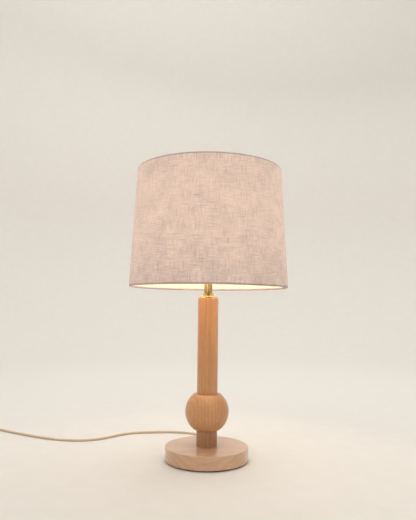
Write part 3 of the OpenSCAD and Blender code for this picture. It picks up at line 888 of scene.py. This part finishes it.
@dataclass
class MainsCord:
    """The cord from the base to the plug, with its coil, strap, strain reliefs and plug.

    Attributes:
        diameter: Diameter of the braid.
        length: Real length of the cord; not used.
        coil_diameter: Diameter of the coil at the middle of its turns.
        turns: Turns in the coil: three out on the table and three on top of them.
        exit: Where the cord leaves its strain relief.
        route: The middle of the cord from there to the coil.
        coil_centre: The coil's middle.
        coil_floor: Height of the coil's lowest turns above the table.
        strap_inside: Width and height of the opening in the coil's strap.
        strap_outside: Width and height of the strap.
        strap_width: How much of the coil it covers.
        strap_corner: Radius of its outer corners.
        strap_heading: Which way it faces on the coil, in degrees.
        relief_length: Length of the strain relief at the base.
        relief_bore: Radius of the hole for the cord in a strain relief.
        ribs: Rings along a strain relief.
        groove_depth: Depth of the grooves between them.
        tail: The middle of the cord from the coil to the plug.
    """

    diameter: float = 0.005
    length: float = 1.8
    coil_diameter: float = 0.055
    turns: int = 6
    exit: Point = (0.0, 0.103, 0.009)
    route: tuple[Point, ...] = (
        (0.0, 0.103, 0.009), (0.0, 0.113, 0.0087), (0.0, 0.125, 0.007), (0.001, 0.138, 0.0044),
        (0.001, 0.151, 0.0028), (-0.002, 0.165, 0.0025), (-0.010, 0.178, 0.0025),
        (-0.023, 0.190, 0.0025), (-0.041, 0.199, 0.0025), (-0.062, 0.205, 0.0025),
        (-0.084, 0.207, 0.0025), (-0.106, 0.205, 0.0025), (-0.128, 0.202, 0.0025),
        (-0.150, 0.198, 0.0025), (-0.170, 0.190, 0.0025), (-0.188, 0.176, 0.0025),
        (-0.204, 0.158, 0.0025), (-0.222, 0.140, 0.0025), (-0.244, 0.128, 0.0025),
        (-0.268, 0.123, 0.0025), (-0.294, 0.125, 0.0025), (-0.320, 0.132, 0.0025),
        (-0.346, 0.142, 0.0025), (-0.372, 0.155, 0.0025), (-0.396, 0.169, 0.0025),
        (-0.420, 0.183, 0.0025), (-0.444, 0.198, 0.0025), (-0.466, 0.213, 0.0025),
        (-0.485, 0.228, 0.0027),
    )
    coil_centre: tuple[float, float] = (-0.521, 0.216)
    coil_floor: float = 0.0035
    strap_inside: tuple[float, float] = (0.0156, 0.0101)
    strap_outside: tuple[float, float] = (0.0176, 0.012)
    strap_width: float = 0.008
    strap_corner: float = 0.0024
    strap_heading: float = -60.0
    relief_length: float = 0.026
    relief_bore: float = 0.00255
    ribs: int = 6
    groove_depth: float = 0.00055
    tail: tuple[Point, ...] = (
        (-0.521, 0.256, 0.0066), (-0.534, 0.261, 0.0042), (-0.547, 0.261, 0.0028),
        (-0.560, 0.257, 0.0028), (-0.571, 0.248, 0.004), (-0.578, 0.236, 0.0056),
        (-0.581, 0.224, 0.0065), (-0.582, 0.212, 0.0065),
    )

    def coil_line(self) -> list[Vector]:
        """Winds three turns inwards on the table, then three outwards on top of them."""
        wide, step = self.coil_diameter / 2 + self.diameter, self.diameter
        start = math.radians(50)
        per_turn = 24
        line = []
        for i in range(self.turns * per_turn + 1):
            turn = min(i // per_turn, self.turns - 1)
            part = i / per_turn - turn
            # In the last third of each turn the cord crosses to the next place
            share = min(max((part - 0.68) / 0.3, 0.0), 1.0)
            share = share * share * (3 - 2 * share)
            angle = math.radians(90 * share)
            climb = Vector((wide - step - step * share, self.coil_floor))
            climb += step * Vector((-math.cos(angle), math.sin(angle)))
            if turn < 2:
                radius, height = wide - step * (turn + share), self.coil_floor
            elif turn == 2:
                radius, height = climb
            elif turn == 3:
                radius, height = climb + step * Vector((math.sin(angle), math.cos(angle)))
            else:
                radius, height = wide - step * (5 - turn - share), self.coil_floor + step
            heading = start + math.tau * i / per_turn
            line.append(
                Vector((
                    self.coil_centre[0] + radius * math.cos(heading),
                    self.coil_centre[1] + radius * math.sin(heading),
                    height,
                ))
            )
        return line

    def build(self) -> None:
        points = [Vector(p) for p in self.route] + self.coil_line() + [Vector(p) for p in self.tail]
        line = smooth_line(points, 0.0045)
        cord = swept("mains_cord", line, self.diameter / 2, BRAID.build())
        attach(cord, "root")
        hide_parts("cord", "cord_coil", "cord_tail")
        strap, relief, plug = self.strap(), self.plug_relief(), self.plug()
        self.gland()
        run = sum((b - a).length for a, b in zip(line, line[1:]))
        log.info("mains_cord is %.0f mm long", run / MM)

    def strap(self) -> Any:
        """Bends a soft strap round the coil's section and returns it."""
        low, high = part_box("cord_tie")
        rubber = SLOT_FINISHES["relief_rubber"].build()
        inner, outer = self.strap_inside, self.strap_outside
        bm = bmesh.new()
        bmesh.ops.create_cube(bm, size=1.0)
        bmesh.ops.scale(bm, vec=(outer[0], self.strap_width, outer[1]), verts=bm.verts)
        bm.faces.ensure_lookup_table()
        ends = [f for f in bm.faces if abs(f.normal.y) > 0.9]
        wall = (outer[0] - inner[0]) / 2
        bmesh.ops.inset_individual(bm, faces=ends, thickness=wall)
        bmesh.ops.bridge_loops(bm, edges=[e for f in ends for e in f.edges])
        bmesh.ops.delete(bm, geom=[f for f in ends if f.is_valid], context="FACES_ONLY")
        corners = [
            e for e in bm.edges
            if abs((e.verts[0].co - e.verts[1].co).normalized().y) > 0.9
            and abs(e.verts[0].co.x) > inner[0] / 2 + 0.1 * MM
        ]
        bmesh.ops.bevel(
            bm, geom=corners, offset=self.strap_corner, segments=5, profile=0.5, affect="EDGES",
            material=-1,
        )
        bmesh.ops.recalc_face_normals(bm, faces=bm.faces)
        middle = (Vector(low) + Vector(high)) / 2
        place = Matrix.Translation(middle) @ Matrix.Rotation(math.radians(self.strap_heading), 4, "Z")
        bmesh.ops.transform(bm, matrix=place, verts=bm.verts)
        strap = finished(bm, "cord_strap", rubber, smooth=False)
        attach(strap, "root")
        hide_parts("cord_tie")
        return strap

    def ribbed(
        self, name: str, radii: tuple[float, float], length: float, turn: Matrix, finish: Finish
    ) -> Any:
        """Makes a tapered sleeve with rings cut into it, along its own Z axis.

        Args:
            name: The object's name.
            radii: Radius at the foot and at the tip.
            length: Length from foot to tip.
            turn: Where the sleeve goes.
            finish: Its finish.

        Returns:
            The new object.
        """
        bore, groove = self.relief_bore, self.groove_depth
        outline: Shape = [(bore, 0.0), (radii[0], 0.0)]
        # The half pitch left over is the plain tip
        pitch = length / (self.ribs + 0.5)
        for i in range(self.ribs):
            for share, cut in ((0.5, 0.0), (0.62, groove), (0.88, groove), (1.0, 0.0)):
                height = pitch * (i + share)
                radius = radii[0] + (radii[1] - radii[0]) * height / length
                outline.append((radius - cut, height))
        outline += [(radii[1], length), (bore, length)]
        sleeve = turned(name, outline, finish.build(), 48)
        sleeve.data.transform(turn)
        return sleeve

    def gland(self) -> None:
        """Makes the tapered strain relief where the cord leaves the base."""
        wood_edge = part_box("cord_gland")[1].y - self.relief_length
        place = Matrix.Translation((0.0, wood_edge, self.exit[2])) @ Matrix.Rotation(
            math.radians(-90), 4, "X"
        )
        relief = self.ribbed(
            "base_strain_relief", (5.6 * MM, 3.3 * MM), self.relief_length, place,
            SLOT_FINISHES["relief_rubber"],
        )
        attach(relief, "root")
        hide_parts("cord_gland")

    def plug_relief(self) -> Any:
        """Makes the plug's ribbed strain relief and returns it."""
        low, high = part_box("plug_relief")
        middle = (low + high) / 2
        place = Matrix.Translation((middle.x, high.y, middle.z)) @ Matrix.Rotation(
            math.radians(90), 4, "X"
        )
        relief = self.ribbed(
            "plug_strain_relief", (3.4 * MM, 5.4 * MM), high.y - low.y, place,
            SLOT_FINISHES["plug_plastic"],
        )
        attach(relief, "root")
        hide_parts("plug_relief")
        return relief

    def plug(self) -> Any:
        """Makes the plug's moulded body, waisted for the fingers, and returns it."""
        low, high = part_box("plug_body")
        size, middle = high - low, (low + high) / 2
        bm = bmesh.new()
        bmesh.ops.create_cube(bm, size=1.0)
        bmesh.ops.scale(bm, vec=size, verts=bm.verts)
        sides = [e for e in bm.edges if abs(e.verts[0].co.y - e.verts[1].co.y) > size.y / 2]
        bmesh.ops.subdivide_edges(bm, edges=sides, cuts=9, use_grid_fill=True)
        for vert in bm.verts:
            run = vert.co.y / size.y
            waist = 1 - 0.16 * math.cos(math.pi * min(abs(run - 0.12) / 0.4, 0.5)) ** 2
            taper = 1 - 0.14 * max(run, 0.0)
            vert.co.x *= waist * taper
            vert.co.z *= taper
        rims = [
            e for e in bm.edges
            if len(e.link_faces) == 2 and e.calc_face_angle(0.0) > math.radians(40)
        ]
        bmesh.ops.bevel(
            bm, geom=rims, offset=2.2 * MM, segments=5, profile=0.5, affect="EDGES", material=-1
        )
        bmesh.ops.translate(bm, vec=middle, verts=bm.verts)
        plug = finished(bm, "plug_moulding", SLOT_FINISHES["plug_plastic"].build())
        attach(plug, "root")
        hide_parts("plug_body")
        return plug


@dataclass
class DrumShade:
    """The linen cover of the shade, wrapped over both rings, with its lapped seam.

    Attributes:
        thickness: Thickness of the laminated linen.
        roll: Radius of the cloth where it wraps a ring.
        hem: Height of the cloth turned in past a ring.
        seam_angle: Where the seam is, in degrees from +X.
        seam_width: Width of the lap.
        steps: Segments round the shade.
        roll_steps: Segments round each roll.
    """

    thickness: float = 0.0007
    roll: float = 0.0026
    hem: float = 0.0012
    seam_angle: float = 125.0
    seam_width: float = 0.011
    steps: int = 192
    roll_steps: int = 12

    def outline(self) -> Shape:
        """Works out the cloth's line: in past the lower ring, up the outside, in past the upper."""
        low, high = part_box("shade_cover")
        bottom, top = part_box("bottom_ring"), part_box("top_ring")
        cone = math.atan2(bottom[1].x - top[1].x, top[0].z - bottom[0].z)
        bottom_r = high.x - self.thickness / 2
        top_r = bottom_r - math.tan(cone) * (high.z - low.z)
        drop = 0.5 * MM
        foot = (bottom_r - self.roll, low.z + self.roll - drop)
        head = (top_r - self.roll, high.z - self.roll + drop)
        lean = math.degrees(cone)
        shape: Shape = [(foot[0] - self.roll + math.tan(cone) * -self.hem, foot[1] + self.hem)]
        shape += arc(foot, self.roll, -180 + lean, lean, self.roll_steps)
        rows = 24
        upper_roll = arc(head, self.roll, lean, 180 + lean, self.roll_steps)
        start, end = shape[-1], upper_roll[0]
        shape += [
            (start[0] + (end[0] - start[0]) * i / rows, start[1] + (end[1] - start[1]) * i / rows)
            for i in range(1, rows)
        ]
        shape += upper_roll
        shape.append((head[0] - self.roll + math.tan(cone) * self.hem, head[1] - self.hem))
        return shape

    def build(self) -> None:
        linen = LINEN.build()
        shape = self.outline()
        cover = turned("linen_cover", shape, linen, self.steps, closed=False)
        solid = cover.modifiers.new("cloth", "SOLIDIFY")
        solid.thickness = self.thickness
        solid.offset = 0.0
        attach(cover, "shade")
        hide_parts("shade_cover")
        seam = self.seam(shape, linen)

    def seam(self, shape: Shape, linen: Any) -> Any:
        """Makes the cloth's lapped edge, a narrow strip proud of the cover.

        Args:
            shape: The cover's line.
            linen: The cover's material.

        Returns:
            The strip.
        """
        # The lap stops short of the turned-in edge and the roll at each rim
        rim = self.roll_steps + 2
        flat = shape[rim:-rim]
        lap = self.thickness * 0.9
        radius = flat[len(flat) // 2][0]
        angle = self.seam_width / radius
        bm = bmesh.new()
        verts = [bm.verts.new((r + lap, 0.0, z)) for r, z in flat]
        edges = [bm.edges.new(pair) for pair in zip(verts, verts[1:])]
        bmesh.ops.spin(
            bm, geom=verts + edges, axis=(0, 0, 1), cent=(0, 0, 0), angle=angle, steps=4,
            use_merge=False, use_duplicate=False,
        )
        bmesh.ops.rotate(
            bm, matrix=Matrix.Rotation(math.radians(self.seam_angle), 3, "Z"), cent=(0, 0, 0),
            verts=bm.verts,
        )
        layer = bm.loops.layers.uv.new("Surface")
        for face in bm.faces:
            for loop in face.loops:
                loop[layer].uv = (math.atan2(loop.vert.co.y, loop.vert.co.x) * radius, loop.vert.co.z)
        bmesh.ops.recalc_face_normals(bm, faces=bm.faces)
        strip = finished(bm, "linen_seam", linen)
        solid = strip.modifiers.new("cloth", "SOLIDIFY")
        solid.thickness = self.thickness
        solid.offset = 0.0
        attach(strip, "shade")
        return strip


@dataclass
class Fittings:
    """Every piece whose shape is already right: it gets the finish of its slot."""

    def build(self) -> None:
        """Dresses the frame's own nodes."""
        slots = {row["node"]: row["material_slot"] for row in frame["record"]["subparts"]}
        made: dict[str, Any] = {}
        for name, node in frame["nodes"].items():
            finish = NODE_FINISHES.get(name) or SLOT_FINISHES.get(slots[name])
            if finish is None:
                continue
            if finish.name not in made:
                made[finish.name] = finish.build()
            node.data.materials.clear()
            node.data.materials.append(made[finish.name])
            log.info("%s is %s", name, finish.name)


def main() -> None:
    """Builds the scene in order: camera, cord, shade, then the carried-over pieces."""
    logging.basicConfig(level=logging.INFO, format="%(name)s: %(message)s")
    Studio().build()
    MainsCord().build()
    DrumShade().build()
    Fittings().build()


if __name__ == "__main__":
    main()
